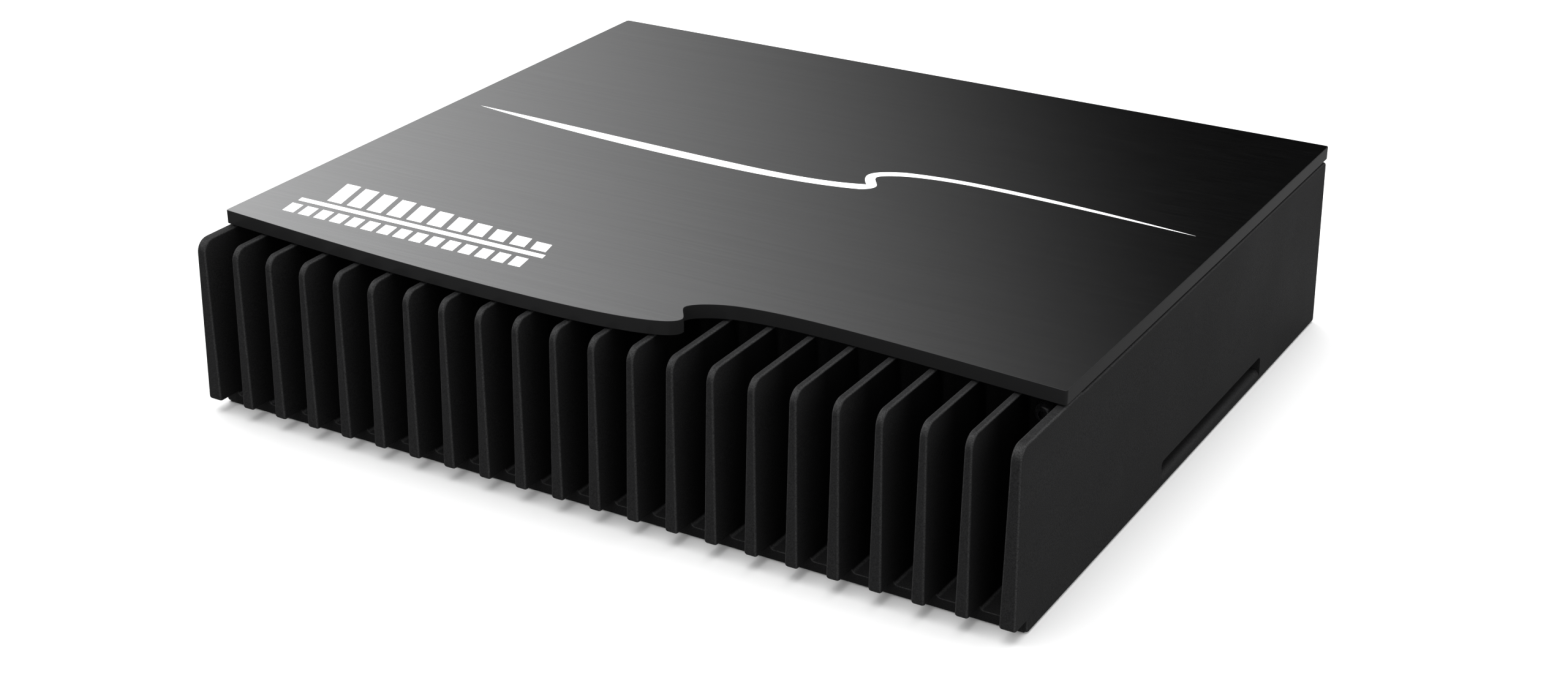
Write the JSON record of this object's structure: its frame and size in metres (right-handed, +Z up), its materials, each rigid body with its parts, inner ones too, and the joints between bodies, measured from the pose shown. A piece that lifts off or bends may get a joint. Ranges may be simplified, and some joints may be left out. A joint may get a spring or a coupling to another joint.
{
  "type": "car amplifier",
  "caption": "Low rectangular finned amplifier housing with a wave-edged brushed cover plate, side bracket slots and a recessed rear panel of jacks, level knobs, switches and screw terminals.",
  "frame": {"origin": "centre of the footprint, on the surface the amplifier stands on", "axes": "+X along the width, +Y towards the connector side, +Z up; the fins face -Y"},
  "size_m": [0.2558, 0.2204, 0.0577],
  "materials": {
    "powder": "cast, with a fine black powder coat",
    "brushed": "brushed along the width, grey anodised",
    "sheet": "satin black",
    "black_screw": "black oxide",
    "zinc": "bright zinc plate",
    "plastic": "satin moulded",
    "knob": "satin moulded",
    "grey_plastic": "satin moulded",
    "gold": "gold flash plating",
    "board": "solder resist",
    "copper": "enamelled copper wire on a ferrite ring",
    "core": "moulded",
    "sleeve": "moulded",
    "pad": "silicone sheet",
    "lens": "clear blue"
  },
  "bodies": {
    "chassis": {"heatsink_casting": "powder", "top_plate": "brushed", "bottom_cover": "sheet", "connector_panel": "sheet", "clamp_bar": "zinc", "thermal_pad": "pad", "main_board": "board", "power_transformer": "copper", "input_jack_block": "plastic", "preout_jack_block": "plastic", "speaker_terminal_block": "plastic", "power_terminal_block": "plastic", "data_socket": "zinc", "remote_socket": "plastic", "status_light": "lens", "clamp_screw_left": "black_screw", "clamp_screw_right": "black_screw", "plate_screw_1": "zinc", "board_screw_1": "zinc", "cover_screw_1": "black_screw", "power_transistor_1": "sleeve", "output_inductor_1": "copper", "level_pot_1": "core", "plate_screw_2": "zinc", "board_screw_2": "zinc", "cover_screw_2": "black_screw", "power_transistor_2": "sleeve", "output_inductor_2": "copper", "level_pot_2": "core", "plate_screw_3": "zinc", "board_screw_3": "zinc", "cover_screw_3": "black_screw", "power_transistor_3": "sleeve", "output_inductor_3": "copper", "level_pot_3": "core", "plate_screw_4": "zinc", "board_screw_4": "zinc", "cover_screw_4": "black_screw", "power_transistor_4": "sleeve", "output_inductor_4": "copper", "level_pot_4": "core", "reservoir_capacitor_1": "sleeve", "switch_body_1": "core", "reservoir_capacitor_2": "sleeve", "switch_body_2": "core", "jack_shell_1": "gold", "jack_shell_2": "gold", "jack_shell_3": "gold", "jack_shell_4": "gold", "jack_shell_5": "gold", "jack_shell_6": "gold", "power_clamp_screw_1": "zinc", "power_clamp_screw_2": "zinc", "power_clamp_screw_3": "zinc"},
    "level_knob_1": {"level_knob_1": "knob"},
    "level_knob_2": {"level_knob_2": "knob"},
    "level_knob_3": {"level_knob_3": "knob"},
    "level_knob_4": {"level_knob_4": "knob"},
    "switch_slider_1": {"switch_slider_1": "grey_plastic"},
    "switch_slider_2": {"switch_slider_2": "grey_plastic"}
  },
  "joints": [
    {"name": "level_1_turn", "type": "hinge", "parent": "chassis", "child": "level_knob_1", "pos_m": [0.048, 0.1, 0.022], "axis": [0, -1, 0], "range_deg": [-140, 140]},
    {"name": "level_2_turn", "type": "hinge", "parent": "chassis", "child": "level_knob_2", "pos_m": [0.035, 0.1, 0.022], "axis": [0, -1, 0], "range_deg": [-140, 140]},
    {"name": "level_3_turn", "type": "hinge", "parent": "chassis", "child": "level_knob_3", "pos_m": [0.022, 0.1, 0.022], "axis": [0, -1, 0], "range_deg": [-140, 140]},
    {"name": "level_4_turn", "type": "hinge", "parent": "chassis", "child": "level_knob_4", "pos_m": [0.009, 0.1, 0.022], "axis": [0, -1, 0], "range_deg": [-140, 140]},
    {"name": "switch_1_slide", "type": "slide", "parent": "chassis", "child": "switch_slider_1", "axis": [1, 0, 0], "range_m": [0, 0.004]},
    {"name": "switch_2_slide", "type": "slide", "parent": "chassis", "child": "switch_slider_2", "axis": [1, 0, 0], "range_m": [0, 0.004]}
  ]
}
